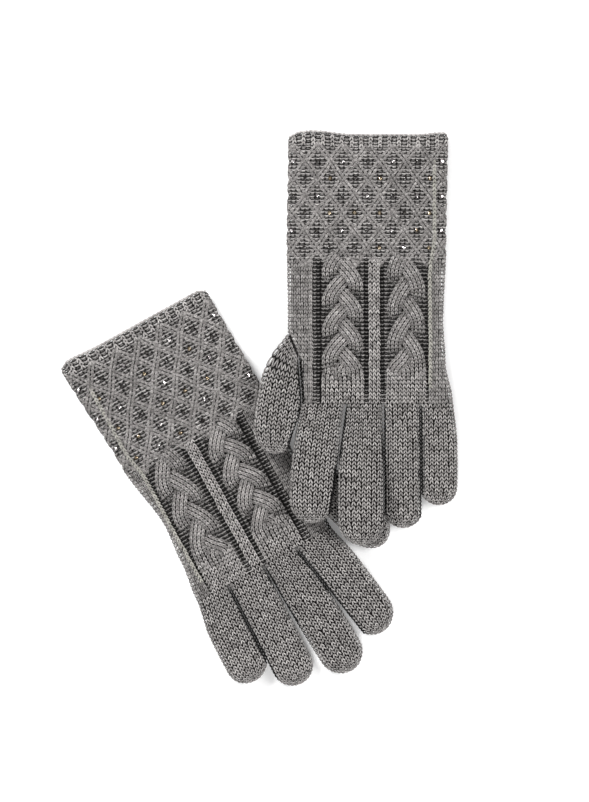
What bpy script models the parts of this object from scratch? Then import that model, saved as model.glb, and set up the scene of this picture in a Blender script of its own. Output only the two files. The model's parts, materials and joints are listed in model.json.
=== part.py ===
"""A pair of five-finger knitted gloves: lattice cuffs set with crystals, cabled backs and plain fingers.

The right-hand glove lies on the table, turned away from straight. The left-hand glove lies partly on
it: its thumb, index and middle finger drape over the right hand. Both lie with their backs up.
Each glove is drawn in its own plane: u runs across it from the thumb side to the little finger side,
v runs from the mouth of the cuff to the fingertips, and z is up. Lengths are in millimetres here and
become metres where a mesh is made.
"""

import math

import bmesh
import bpy
from mathutils import Vector

MM = 0.001

# Driving dimensions of one glove
CUFF_START = 6.0          # where the short ribbed welt ends and the lattice cuff begins
CUFF_END = 74.0           # where the lattice cuff ends and the hand begins
HAND_END = 160.0          # knuckle line, where the four fingers begin
THICKNESS = 10.5          # the glove lying flat, palm side to back
FINGER_THICKNESS = 10.0
WALL = 2.0                # thickness of the knitted fabric
SEAM_GAP = 0.35           # clearance where two pieces of fabric meet
FINGER_GAP = 0.8          # clearance between neighbouring fingers
THUMB_GAP = 1.4           # clearance between the thumb and the side of the hand
TABLE = 0.0

# Shape of a flattened tube of fabric: powers that square off its sides and crown its back
SIDE_POWER = 0.62
CROWN_POWER = 0.8
UNDERSIDE_DEPTH = 0.62    # how far the underside reaches, as a share of the height; it is cut flat at 0.5

# Shape of a finger, as shares of its length or of its height
SQUARE_BY = 0.35          # where its rings stand square to its middle line
FULL_WIDTH_BY = 0.42      # where it reaches its full width
TIP_POWER = 2.3           # how blunt the tip is
TIP_HEIGHT = 0.35         # height left at the very tip
TIP_SWELL = 1.15          # how soon the tip reaches its full height
PATH_STEP = 0.001

# Drape of the left glove over the right one
DRAPE_HEIGHT = THICKNESS + 0.8
DRAPE_REACH = 38.0        # how far from the lower glove's edge the upper one starts to rise

# Crystals of the cuff: staggered rows, one in each diamond of the lattice
CRYSTAL_PITCH = 15.2
CRYSTAL_ROW_STEP = 10.3
CRYSTAL_FIRST_ROW = 16.7
CRYSTAL_ROWS = 4
CRYSTAL_RADIUS = 1.5
CRYSTAL_HEIGHT = 1.5
CRYSTAL_SIDES = 6
CRYSTAL_RINGS = ((0.8, 0.0), (1.0, 0.35), (0.5, 1.0))    # back, girdle and table: radius and height shares

# Mesh resolution
HAND_SIDES = 24
FINGER_SIDES = 16
CUFF_RINGS = 5
HAND_RINGS = 4            # before the thumb's seam, and again after it
FINGER_RINGS = 8
TIP_SHARES = (0.955, 0.985, 0.997)

YARN = (0.19, 0.178, 0.172, 1.0)
RIM_YARN = (0.17, 0.16, 0.155, 1.0)
CRYSTAL_COLOURS = {
    "silver": (0.85, 0.84, 0.82, 1.0),
    "gold": (0.62, 0.42, 0.16, 1.0),
    "dark": (0.035, 0.03, 0.03, 1.0),
}

# The two gloves. A finger is (u of its base, half width at its base, middle control point,
# tip, half width), and gaps are the lines between neighbouring fingers at the knuckles and 40 mm on.
GLOVES = {
    "right": {
        "side": 1, "mouth": (-75.2, 47.9), "turn": -151.0,
        "thumb_edge": (-49.2, -50.4, -48.0), "thumb_edge_after": (-46.8, -45.9),
        "little_edge": (49.2, 45.6, 40.2, 42.2, 45.0),
        "fingers": {
            "index": (-33.6, 12.0, (-39.0, 190.0), (-43.7, 229.4), 13.3),
            "middle": (-10.6, 10.8, (-14.2, 195.0), (-15.6, 240.8), 13.0),
            "ring": (12.4, 11.7, (13.0, 195.0), (14.4, 233.0), 12.1),
            "little": (34.7, 10.1, (37.8, 190.0), (37.4, 218.2), 12.3),
        },
        "gaps": ((-21.6, -28.0), (0.4, -0.4), (24.3, 25.6)),
        "thumb": ((-47.6, 117.0), (-46.9, 134.0), (-59.5, 141.0), (-68.6, 184.0), 12.6),
    },
    "left": {
        "side": -1, "mouth": (64.95, 164.2), "turn": 180.0,
        "thumb_edge": (-47.3, -48.2, -47.6), "thumb_edge_after": (-40.8, -39.1),
        "little_edge": (47.4, 46.4, 44.8, 46.2, 50.5),
        "fingers": {
            "index": (-26.6, 12.5, (-33.2, 194.0), (-33.4, 231.0), 13.2),
            "middle": (-2.0, 10.7, (-5.4, 200.0), (-3.8, 244.2), 13.2),
            "ring": (20.4, 10.9, (21.0, 198.0), (21.0, 234.4), 11.2),
            "little": (41.0, 9.6, (43.0, 190.0), (41.8, 220.8), 10.9),
        },
        "gaps": ((-12.8, -18.6), (9.5, 9.6), (31.3, 31.7)),
        "thumb": ((-47.5, 118.5), (-41.0, 134.0), (-53.4, 150.0), (-55.8, 190.0), 12.9),
    },
}
EDGE_STATIONS = (0.0, 70.0, 112.0, 136.0, 160.0)
FINGER_NAMES = ("index", "middle", "ring", "little")
GAP_LENGTH = 40.0         # how far on from the knuckles a gap's second place is given
DRAPE_EDGE = ((0.0, 130.0, 158.0, 200.0), (49.5, 48.0, 46.0, 54.5))    # the lower glove's edge, by v
THUMB_CLEAR = 1.0         # added around the lower thumb where the upper glove lies on it


def smoothstep(x):
    x = min(1.0, max(0.0, x))
    return x * x * (3.0 - 2.0 * x)


def interpolate(x, xs, ys):
    """A smooth curve through a few points, level at each of its ends."""
    if x <= xs[0]:
        return ys[0]
    for x0, x1, y0, y1 in zip(xs, xs[1:], ys, ys[1:]):
        if x <= x1:
            return y0 + (y1 - y0) * smoothstep((x - x0) / (x1 - x0))
    return ys[-1]


def bezier(p0, p1, p2, t):
    return (p0 * (1 - t) + p1 * t) * (1 - t) + (p1 * (1 - t) + p2 * t) * t


def glove_to_world(glove, u, v):
    turn = math.radians(glove["turn"])
    x = glove["side"] * u
    return (
        glove["mouth"][0] + x * math.cos(turn) - v * math.sin(turn),
        glove["mouth"][1] + x * math.sin(turn) + v * math.cos(turn),
    )


def world_to_glove(glove, x, y):
    turn = math.radians(glove["turn"])
    dx = x - glove["mouth"][0]
    dy = y - glove["mouth"][1]
    u = glove["side"] * (dx * math.cos(turn) + dy * math.sin(turn))
    return u, dy * math.cos(turn) - dx * math.sin(turn)


def drape(u, v):
    """How high the left glove lies above the table at one of its points."""
    lower = GLOVES["right"]
    p = Vector(world_to_glove(lower, *glove_to_world(GLOVES["left"], u, v)))
    edge = interpolate(p.y, *DRAPE_EDGE)
    beside_hand = -p.x - edge
    outer, inner, middle, tip, half_width = lower["thumb"]
    base = (Vector(outer) + Vector(inner)) / 2
    end = Vector(tip)
    end -= (end - base).normalized() * half_width
    along = min(1.0, max(0.0, (p - base).dot(end - base) / (end - base).length_squared))
    beside_thumb = (p - base.lerp(end, along)).length - half_width - THUMB_CLEAR
    away = max(0.0, min(beside_hand, beside_thumb))
    return DRAPE_HEIGHT * smoothstep(1.0 - away / DRAPE_REACH)


def section(sides, half_width, height, floor):
    """Points around a flattened tube: crowned above, flat below, as (across, up) pairs."""
    points = []
    for k in range(sides):
        angle = 2.0 * math.pi * (k + 0.5) / sides
        c = math.cos(angle)
        s = math.sin(angle)
        across = math.copysign(abs(c) ** SIDE_POWER, c) * half_width
        rise = math.copysign(abs(s) ** CROWN_POWER, s)
        up = 0.5 + (0.5 if rise > 0 else UNDERSIDE_DEPTH) * rise
        points.append((across, floor + max(0.0, up) * height))
    return points


def palm_edges(glove, v):
    """Where the thumb side and the little finger side of the cuff and the hand are."""
    outer, inner = glove["thumb"][0], glove["thumb"][1]
    thumb_side = interpolate(v, EDGE_STATIONS[:3], glove["thumb_edge"])
    crotch, knuckle = glove["thumb_edge_after"]
    if v > inner[1]:
        thumb_side = interpolate(v, (inner[1], HAND_END), (crotch, knuckle))
    elif v > outer[1]:
        thumb_side += (crotch - thumb_side) * (v - outer[1]) / (inner[1] - outer[1])
    return thumb_side, interpolate(v, EDGE_STATIONS, glove["little_edge"])


def palm_ring(glove, v, sides, inset, lifted):
    left, right = palm_edges(glove, v)
    centre = (left + right) / 2
    half = (right - left) / 2 - inset
    ring = []
    for across, up in section(sides, half, THICKNESS - 2 * inset, inset):
        u = centre + across
        rise = drape(u, v) if lifted else 0.0
        ring.append((u, v, up + rise))
    return ring


def finger_ring(path, t, sides, inset, lifted, keep):
    """One ring of a finger or thumb at a share t of its length."""
    centre, across_dir, half, height = path(t)
    half = max(0.4, half - inset)
    ring = []
    floor = inset + (FINGER_THICKNESS - height) / 2
    for across, up in section(sides, half, max(1.0, height - 2 * inset), floor):
        u = centre.x + across_dir.x * across
        v = centre.y + across_dir.y * across
        u = keep(u, v, inset)
        rise = drape(u, v) if lifted else 0.0
        ring.append((u, v, up + rise))
    return ring


def finger_path(base_a, base_b, middle, tip, half_width):
    """The line along a finger: its centre, direction across, half width and height at each share."""
    a = Vector(base_a)
    b = Vector(base_b)
    start = (a + b) / 2
    base_across = (b - a).normalized()
    base_half = (b - a).length / 2
    p1 = Vector(middle)
    p2 = Vector(tip)
    length = (p1 - start).length + (p2 - p1).length

    def at(t):
        centre = bezier(start, p1, p2, t)
        ahead = bezier(start, p1, p2, t + PATH_STEP) - bezier(start, p1, p2, t - PATH_STEP)
        ahead.normalize()
        square = Vector((ahead.y, -ahead.x))
        across = base_across.lerp(square, smoothstep(t / SQUARE_BY)).normalized()
        half = base_half + (half_width - base_half) * smoothstep(t / FULL_WIDTH_BY)
        to_tip = (1.0 - t) * length / half_width
        roundness = math.sqrt(max(0.0, 1.0 - (1.0 - min(1.0, to_tip)) ** TIP_POWER))
        swell = min(1.0, roundness * TIP_SWELL)
        height = FINGER_THICKNESS * (TIP_HEIGHT + (1.0 - TIP_HEIGHT) * swell)
        return centre, across, half * roundness, height

    return at, length


def new_object(name, verts, faces, material, parent, origin, flip):
    if flip:
        faces = [tuple(reversed(f)) for f in faces]
    mesh = bpy.data.meshes.new(name)
    mesh.from_pydata([(Vector(v) - origin) * MM for v in verts], [], faces)
    mesh.materials.append(material)
    mesh.validate()
    mesh.update()
    mesh.shade_smooth()
    mesh.set_sharp_from_angle(angle=math.radians(40))
    obj = bpy.data.objects.new(name, mesh)
    bpy.context.scene.collection.objects.link(obj)
    obj.parent = parent
    obj.location = origin * MM
    return obj


def band(first, second, sides, flip=False):
    """Faces joining two rings of vertices that start at the given indices."""
    faces = []
    for k in range(sides):
        n = (k + 1) % sides
        quad = (first + k, first + n, second + n, second + k)
        faces.append(tuple(reversed(quad)) if flip else quad)
    return faces


def sleeve(outer, inner, sides):
    """A tube of fabric open at both ends, from lists of outer and inner rings."""
    verts = [p for ring in outer for p in ring]
    start_inner = len(verts)
    verts += [p for ring in inner for p in ring]
    faces = []
    for r in range(len(outer) - 1):
        faces += band(r * sides, (r + 1) * sides, sides)
        faces += band(start_inner + r * sides, start_inner + (r + 1) * sides, sides, flip=True)
    faces += band(0, start_inner, sides, flip=True)
    last = (len(outer) - 1) * sides
    faces += band(last, start_inner + last, sides)
    return verts, faces


def stall(outer, inner, sides):
    """A finger of fabric: open at its base and closed at its tip."""
    verts = [p for ring in outer for p in ring]
    start_inner = len(verts)
    verts += [p for ring in inner for p in ring]
    faces = []
    for r in range(len(outer) - 1):
        faces += band(r * sides, (r + 1) * sides, sides)
    for r in range(len(inner) - 1):
        faces += band(start_inner + r * sides, start_inner + (r + 1) * sides, sides, flip=True)
    faces += band(0, start_inner, sides, flip=True)
    faces.append(tuple((len(outer) - 1) * sides + k for k in range(sides)))
    faces.append(tuple(start_inner + (len(inner) - 1) * sides + k for k in reversed(range(sides))))
    return verts, faces


def local(glove, points):
    return [(glove["side"] * u, v, z) for u, v, z in points]


def is_mirrored(glove):
    """The rings run anticlockwise in u and z, so the faces of the unmirrored glove need turning."""
    return glove["side"] > 0


def evenly(start, end, count):
    return [start + (end - start) * k / (count - 1) for k in range(count)]


def make_sleeve(name, glove, stations, material, parent, lifted):
    outer = [local(glove, palm_ring(glove, v, HAND_SIDES, 0.0, lifted)) for v in stations]
    inner = [local(glove, palm_ring(glove, v, HAND_SIDES, WALL, lifted)) for v in stations]
    verts, faces = sleeve(outer, inner, HAND_SIDES)
    return new_object(name, verts, faces, material, parent, Vector((0, 0, 0)), is_mirrored(glove))


def make_finger(name, glove, path, length, rings, material, parent, pivot, lifted, keep):
    inner_end = 1.0 - 1.6 * WALL / length
    plain_rings = rings - len(TIP_SHARES)
    shares = evenly(0.0, 0.9, plain_rings) + list(TIP_SHARES)
    inner_shares = [t * inner_end for t in shares[:-1]]
    outer = [local(glove, finger_ring(path, t, FINGER_SIDES, 0.0, lifted, keep)) for t in shares]
    inner = [local(glove, finger_ring(path, t, FINGER_SIDES, WALL, lifted, keep)) for t in inner_shares]
    verts, faces = stall(outer, inner, FINGER_SIDES)
    return new_object(name, verts, faces, material, parent, pivot, is_mirrored(glove))


def between(low, high):
    """Keeps a finger on its own side of the lines between it and its neighbours."""

    def keep(u, v, inset):
        share = (v - HAND_END) / GAP_LENGTH
        if low is not None:
            u = max(u, low[0] + (low[1] - low[0]) * share + FINGER_GAP / 2 + inset)
        if high is not None:
            u = min(u, high[0] + (high[1] - high[0]) * share - FINGER_GAP / 2 - inset)
        return u

    return keep


def beside_hand(glove):
    """Keeps a thumb clear of the side of the hand and of the index finger."""
    inner = glove["thumb"][1]

    def keep(u, v, inset):
        if v < inner[1]:
            return u
        if v < HAND_END:
            return min(u, palm_edges(glove, v)[0] - THUMB_GAP - inset)
        base, base_half, middle, tip, half = glove["fingers"]["index"]
        share = min(1.0, (v - HAND_END) / 30.0)
        side = base - base_half + (middle[0] - half - base + base_half) * smoothstep(share)
        return min(u, side - THUMB_GAP - inset)

    return keep


def fabric(name, colour):
    material = bpy.data.materials.new(name)
    material.use_nodes = True
    shader = material.node_tree.nodes["Principled BSDF"]
    shader.inputs["Base Color"].default_value = colour
    shader.inputs["Roughness"].default_value = 0.95
    shader.inputs["Metallic"].default_value = 0.0
    return material


def crystal_material(name, colour):
    material = bpy.data.materials.new(name)
    material.use_nodes = True
    shader = material.node_tree.nodes["Principled BSDF"]
    shader.inputs["Base Color"].default_value = colour
    shader.inputs["Roughness"].default_value = 0.08
    shader.inputs["Metallic"].default_value = 0.6
    return material


def cut_thumb_hole(hand, glove, parent, lifted):
    """Opens the side of the hand where the thumb is joined to it."""
    outer = Vector(glove["thumb"][0])
    inner = Vector(glove["thumb"][1])
    centre = (outer + inner) / 2
    along = (inner - outer).normalized()
    square = Vector((-along.y, along.x)) if along.y > 0 else Vector((along.y, -along.x))
    half_length = (inner - outer).length / 2 - WALL - 1.0
    corners = []
    for depth in (-4.0, 6.0):
        for reach in (-half_length, half_length):
            p = centre + along * reach + square * depth
            corners.append((p.x, p.y, drape(p.x, p.y) if lifted else 0.0))
    margin = WALL + 0.6
    verts = local(glove, [(u, v, z + rise) for z in (margin, THICKNESS - margin) for u, v, rise in corners])
    faces = [(0, 1, 3, 2), (4, 6, 7, 5), (0, 4, 5, 1), (2, 3, 7, 6), (0, 2, 6, 4), (1, 5, 7, 3)]
    name = hand.name + "_thumb_hole"
    cutter = new_object(name, verts, faces, hand.data.materials[0], parent, Vector((0, 0, 0)), False)
    bm = bmesh.new()
    bm.from_mesh(cutter.data)
    bmesh.ops.recalc_face_normals(bm, faces=bm.faces)
    bm.to_mesh(cutter.data)
    bm.free()
    cutter.hide_render = True
    cutter.display_type = "WIRE"
    cut = hand.modifiers.new("thumb_hole", "BOOLEAN")
    cut.operation = "DIFFERENCE"
    cut.solver = "EXACT"
    cut.object = cutter


def crystal_mesh(material):
    """A cut stone with a flat back, a girdle, sloping facets and a flat table."""
    bm = bmesh.new()
    rings = []
    for radius, height in CRYSTAL_RINGS:
        ring = []
        r = radius * CRYSTAL_RADIUS * MM
        z = height * CRYSTAL_HEIGHT * MM
        for k in range(CRYSTAL_SIDES):
            angle = 2.0 * math.pi * k / CRYSTAL_SIDES
            ring.append(bm.verts.new((r * math.cos(angle), r * math.sin(angle), z)))
        rings.append(ring)
    bm.faces.new(reversed(rings[0]))
    bm.faces.new(rings[-1])
    for low, high in zip(rings, rings[1:]):
        for k in range(CRYSTAL_SIDES):
            n = (k + 1) % CRYSTAL_SIDES
            bm.faces.new((low[k], low[n], high[n], high[k]))
    mesh = bpy.data.meshes.new("crystal_" + material.name)
    bm.to_mesh(mesh)
    bm.free()
    mesh.materials.append(material)
    return mesh


def crystal_places():
    """Row, column, colour and place (u, v) of each crystal on the back of a cuff."""
    for row in range(CRYSTAL_ROWS):
        staggered = row % 2 == 1
        count = 6 if staggered else 5
        for column in range(count):
            u = (column - (count - 1) / 2) * CRYSTAL_PITCH
            if staggered:
                colour = "gold" if (column + row // 2) % 3 else "dark"
            else:
                colour = "silver" if (column + row // 2) % 2 else "dark"
            yield row + 1, column + 1, colour, u, CRYSTAL_FIRST_ROW + row * CRYSTAL_ROW_STEP


def top_of_cuff(glove, u, v, reach):
    """The highest point of the cuff's outside within reach of a place on its back."""
    ring = palm_ring(glove, v, HAND_SIDES, 0.0, False)
    top = [p for p in ring if p[2] > THICKNESS / 2]
    top.sort()
    best = 0.0
    for place in (u - reach, u, u + reach):
        for p, q in zip(top, top[1:]):
            if p[0] <= place <= q[0]:
                best = max(best, p[2] + (q[2] - p[2]) * (place - p[0]) / (q[0] - p[0]))
    return best


def make_crystals(prefix, glove, parent, meshes):
    for row, column, colour, u, v in crystal_places():
        stone = bpy.data.objects.new(f"{prefix}_crystal_{row}_{column}", meshes[colour])
        bpy.context.scene.collection.objects.link(stone)
        stone.parent = parent
        z = top_of_cuff(glove, u, v, CRYSTAL_RADIUS) + SEAM_GAP
        stone.location = Vector((glove["side"] * u, v, z)) * MM


def make_glove(prefix, glove, materials, crystal_meshes):
    lifted = prefix == "left"
    rig = bpy.data.objects.new(prefix + "_glove", None)
    bpy.context.scene.collection.objects.link(rig)
    rig.location = (glove["mouth"][0] * MM, glove["mouth"][1] * MM, TABLE)
    rig.rotation_euler = (0.0, 0.0, math.radians(glove["turn"]))

    stations = evenly(0.0, CUFF_START - SEAM_GAP, 2)
    make_sleeve(prefix + "_cuff_welt", glove, stations, materials["rim"], rig, False)
    stations = evenly(CUFF_START, CUFF_END - SEAM_GAP, CUFF_RINGS)
    make_sleeve(prefix + "_cuff_lattice", glove, stations, materials["yarn"], rig, False)
    stations = evenly(CUFF_END, glove["thumb"][0][1], HAND_RINGS)
    stations += evenly(glove["thumb"][1][1], HAND_END - SEAM_GAP, HAND_RINGS)
    hand = make_sleeve(prefix + "_hand", glove, stations, materials["yarn"], rig, lifted)
    cut_thumb_hole(hand, glove, rig, lifted)

    lows = (None,) + glove["gaps"]
    highs = glove["gaps"] + (None,)
    for name, low, high in zip(FINGER_NAMES, lows, highs):
        base, base_half, middle, tip, half = glove["fingers"][name]
        drapes = lifted and name in ("index", "middle")
        first = (base - base_half, HAND_END)
        last = (base + base_half, HAND_END)
        path, length = finger_path(first, last, middle, tip, half)
        rise = drape(base - base_half, HAND_END) if drapes else 0.0
        pivot = Vector((glove["side"] * base, HAND_END, FINGER_THICKNESS + rise))
        make_finger(f"{prefix}_{name}_finger", glove, path, length, FINGER_RINGS, materials["yarn"], rig,
                    pivot, drapes, between(low, high))

    outer, inner, middle, tip, half = glove["thumb"]
    away = Vector((-SEAM_GAP, 0.0))
    outer = Vector(outer) + away
    inner = Vector(inner) + away
    path, length = finger_path(outer, inner, middle, tip, half)
    rise = drape(outer.x, outer.y) if lifted else 0.0
    pivot = Vector((glove["side"] * outer.x, outer.y, FINGER_THICKNESS / 2 + rise))
    make_finger(prefix + "_thumb", glove, path, length, FINGER_RINGS, materials["yarn"], rig, pivot,
                lifted, beside_hand(glove))
    make_crystals(prefix, glove, rig, crystal_meshes)


def main():
    for obj in list(bpy.data.objects):
        bpy.data.objects.remove(obj, do_unlink=True)
    materials = {"yarn": fabric("heather_yarn", YARN), "rim": fabric("rim_yarn", RIM_YARN)}
    stones = {}
    for colour, value in CRYSTAL_COLOURS.items():
        stones[colour] = crystal_mesh(crystal_material("crystal_" + colour, value))
    for prefix, glove in GLOVES.items():
        make_glove(prefix, glove, materials, stones)


main()
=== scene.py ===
"""The knitted pair of gloves, stitch by stitch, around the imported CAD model.

Each glove is drawn in its own plane: u runs across it from the thumb side to the little finger side,
v runs from the mouth of the cuff to the fingertips. Every stitch is a short length of yarn swept along
its own path, and is laid on a surface that maps (around, along, height) to the room. Lengths are in
millimetres until a mesh is made, and then in metres as in the CAD model.
"""

import json
import math

import bpy
import numpy as np
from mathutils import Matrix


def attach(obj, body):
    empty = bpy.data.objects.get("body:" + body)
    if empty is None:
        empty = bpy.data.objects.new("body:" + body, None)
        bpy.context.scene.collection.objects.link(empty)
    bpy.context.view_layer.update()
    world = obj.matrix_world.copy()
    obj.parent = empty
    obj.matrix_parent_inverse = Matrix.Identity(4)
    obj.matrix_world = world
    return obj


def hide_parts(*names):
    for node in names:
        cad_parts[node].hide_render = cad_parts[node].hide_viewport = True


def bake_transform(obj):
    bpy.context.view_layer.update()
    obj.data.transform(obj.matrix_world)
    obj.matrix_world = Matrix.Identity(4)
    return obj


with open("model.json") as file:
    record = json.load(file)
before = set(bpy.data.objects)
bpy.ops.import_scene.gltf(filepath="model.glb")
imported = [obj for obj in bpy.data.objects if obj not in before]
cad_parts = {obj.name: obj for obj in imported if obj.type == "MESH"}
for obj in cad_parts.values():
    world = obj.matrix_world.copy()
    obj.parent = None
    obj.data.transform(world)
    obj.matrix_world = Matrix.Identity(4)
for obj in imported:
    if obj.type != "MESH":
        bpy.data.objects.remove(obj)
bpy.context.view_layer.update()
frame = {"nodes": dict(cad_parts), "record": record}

MM = 0.001

# The gloves' driving dimensions, as in the CAD model
CUFF_START = 6.0
CUFF_END = 74.0
HAND_END = 160.0
THICKNESS = 10.5
FINGER_THICKNESS = 10.0
FINGER_GAP = 0.8
THUMB_GAP = 1.4
DRAPE_HEIGHT = THICKNESS + 0.8
DRAPE_REACH = 38.0
EDGE_STATIONS = (0.0, 70.0, 112.0, 136.0, 160.0)

# Each glove: side is 1 where u runs to the right, mouth and turn place it, the edges are its sides at the
# stations, a finger is (base, half its width there, middle and tip of its line, half its width), a gap is
# where two fingers part at their roots and 40 mm on, a thumb is (outer and inner end of its seam, middle,
# tip, half its width), and the rim is how far the mouth's edge wanders at places across it
GLOVES = {
    "right": {
        "side": 1, "mouth": (-75.2, 47.9), "turn": -151.0,
        "thumb_edge": (-49.2, -50.4, -48.0), "thumb_edge_after": (-46.8, -45.9),
        "little_edge": (49.2, 45.6, 40.2, 42.2, 45.0),
        "fingers": {
            "index": (-33.6, 12.0, (-39.0, 190.0), (-43.7, 229.4), 13.3),
            "middle": (-10.6, 10.8, (-14.2, 195.0), (-15.6, 240.8), 13.0),
            "ring": (12.4, 11.7, (13.0, 195.0), (14.4, 233.0), 12.1),
            "little": (34.7, 10.1, (37.8, 190.0), (37.4, 218.2), 12.3),
        },
        "gaps": ((-21.6, -28.0), (0.4, -0.4), (24.3, 25.6)),
        "thumb": ((-47.6, 117.0), (-46.9, 134.0), (-59.5, 141.0), (-68.6, 184.0), 12.6),
        "rim": ((-49.0, -44.0, 20.0, 43.0, 49.0), (1.8, 0.1, 0.0, -1.2, 1.0)),
    },
    "left": {
        "side": -1, "mouth": (64.95, 164.2), "turn": 180.0,
        "thumb_edge": (-47.3, -48.2, -47.6), "thumb_edge_after": (-40.8, -39.1),
        "little_edge": (47.4, 46.4, 44.8, 46.2, 50.5),
        "fingers": {
            "index": (-26.6, 12.5, (-33.2, 194.0), (-33.4, 231.0), 13.2),
            "middle": (-2.0, 10.7, (-5.4, 200.0), (-3.8, 244.2), 13.2),
            "ring": (20.4, 10.9, (21.0, 198.0), (21.0, 234.4), 11.2),
            "little": (41.0, 9.6, (43.0, 190.0), (41.8, 220.8), 10.9),
        },
        "gaps": ((-12.8, -18.6), (9.5, 9.6), (31.3, 31.7)),
        "thumb": ((-47.5, 118.5), (-41.0, 134.0), (-53.4, 150.0), (-55.8, 190.0), 12.9),
        "rim": ((-47.5, -40.0, -33.0, -10.0, 30.0, 45.0, 48.0), (2.6, -0.1, -0.6, 1.7, 1.7, 0.5, 1.8)),
    },
}
FINGERS = ("index", "middle", "ring", "little")

# The knit
WALE = 2.77              # width of one column of stitches
COURSE = 2.3             # height of one row of stitches
YARN = 0.42              # radius of the yarn
SOFT_YARN = 0.52         # the same in the purl ground and the welt
YARN_FLAT = 0.86         # thickness of the yarn over its width
WALES_AROUND = 72        # about how many columns go around a hand
SHEET_LENGTH = 260.0     # length of the knit that fills the height of the sheet of stitches
LIFT_SHADE = 0.15        # painted light and shade: how much a raised or sunken region lightens or darkens its stitches' colour
SKIN = 1.0               # how far inside the CAD surface the middle of the fabric lies, above and below
SIDE_SKIN = 0.45         # the same at the sides
SIDE_POWER = 0.62        # rounds the sides of a flattened tube: 1 is an ellipse, 0 a box
BASE_POWER = 0.30        # the same at the base of a finger, which fills its place in the row
BACKING = -2.1           # height of the dark sheet of painted shade behind the stitches, seen between them
LINING = -2.7            # height of the fabric's inner face
TOUCH = 0.48             # how much further than half of their gap two fingers keep apart
PRESS = 0.8              # how far the painted shade of a seam between two tubes reaches
PAINTED_SEAM_SHADE = 1.3          # how dark that painted shade is
THUMB_TOUCH = 0.7        # how much further than half of its gap the thumb keeps from the hand
TIP_LENGTH = 14.0        # length of a finger's rounded tip
STALL_BACKING = 1.3      # depths of the outer face (a dark sheet of painted shade) and the inner face of a finger's lining
STALL_LINING = 1.8
FOLD = (2.0, 10.0)       # lengths before and past a finger's root, given to each finger as its start and end
THUMB_FOLD = (1.0, 14.0)
SEED = 20260


# ---- shapes shared with the CAD model

def smoothstep(x):
    x = np.clip(x, 0.0, 1.0)
    return x * x * (3.0 - 2.0 * x)


def eased(x, xs, ys):
    """A smooth curve through a few points, level at each of its ends."""
    xs = np.asarray(xs, float)
    ys = np.asarray(ys, float)
    x = np.asarray(x, float)
    k = np.clip(np.searchsorted(xs, x) - 1, 0, len(xs) - 2)
    return ys[k] + (ys[k + 1] - ys[k]) * smoothstep((x - xs[k]) / (xs[k + 1] - xs[k]))


def glove_to_world(glove, u, v):
    turn = math.radians(glove["turn"])
    x = glove["side"] * u
    return (
        glove["mouth"][0] + x * math.cos(turn) - v * math.sin(turn),
        glove["mouth"][1] + x * math.sin(turn) + v * math.cos(turn),
    )


def world_to_glove(glove, x, y):
    turn = math.radians(glove["turn"])
    dx = x - glove["mouth"][0]
    dy = y - glove["mouth"][1]
    u = glove["side"] * (dx * math.cos(turn) + dy * math.sin(turn))
    return u, dy * math.cos(turn) - dx * math.sin(turn)


def drape(u, v):
    """How high the left glove lies above the table at one of its points."""
    lower = GLOVES["right"]
    pu, pv = world_to_glove(lower, *glove_to_world(GLOVES["left"], u, v))
    beside_hand = -pu - eased(pv, (0.0, 130.0, 158.0, 200.0), (49.5, 48.0, 46.0, 54.5))
    outer, inner, middle, tip, half_width = lower["thumb"]
    base = (np.array(outer) + np.array(inner)) / 2
    end = np.array(tip)
    end = end - (end - base) / np.linalg.norm(end - base) * half_width
    line = end - base
    along = np.clip(((pu - base[0]) * line[0] + (pv - base[1]) * line[1]) / line.dot(line), 0.0, 1.0)
    beside_thumb = np.hypot(pu - base[0] - line[0] * along, pv - base[1] - line[1] * along)
    away = np.maximum(0.0, np.minimum(beside_hand, beside_thumb - half_width - 1.0))
    return DRAPE_HEIGHT * smoothstep(1.0 - away / DRAPE_REACH)


def palm_edges(glove, v):
    outer, inner = glove["thumb"][0], glove["thumb"][1]
    side = eased(v, EDGE_STATIONS[:3], glove["thumb_edge"])
    crotch, knuckle = glove["thumb_edge_after"]
    cut = side + (crotch - side) * (v - outer[1]) / (inner[1] - outer[1])
    after = eased(v, (inner[1], HAND_END), (crotch, knuckle))
    thumb_side = np.where(v > inner[1], after, np.where(v > outer[1], cut, side))
    return thumb_side, eased(v, EDGE_STATIONS, glove["little_edge"])


OUTLINE_STEPS = 1440     # even steps around a cross-section


def outline(power, half_width, height):
    """A flattened tube's cross-section, crowned above and flat below, at even steps from its top.

    Gives each point's share of the half width and of the height, and the distance all around."""
    fine = np.linspace(0.0, 1.0, 6001) ** 2
    quarter = np.concatenate([fine[:3000] * 0.5, 0.5 + 0.5 * (1 - fine[:3001][::-1])]) * 0.5 * math.pi
    quarter = np.unique(np.round(np.concatenate([quarter, 0.5 * math.pi * fine]), 9))
    starts = (0.0, -0.5 * math.pi, -math.pi, -1.5 * math.pi)
    angle = np.concatenate([0.5 * math.pi - quarter + k for k in starts])
    angle = np.unique(angle)[::-1]
    c = np.cos(angle)
    s = np.sin(angle)
    x = np.sign(c) * np.abs(c) ** power
    rise = np.sign(s) * np.abs(s) ** 0.8
    z = np.maximum(0.0, np.where(rise > 0, 0.5 + 0.5 * rise, 0.5 + 0.62 * rise))
    far = np.concatenate(([0.0], np.cumsum(np.hypot(np.diff(x) * half_width, np.diff(z) * height))))
    even = np.linspace(0.0, far[-1], OUTLINE_STEPS + 1)
    return np.interp(even, far, x), np.interp(even, far, z), far[-1]


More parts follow.
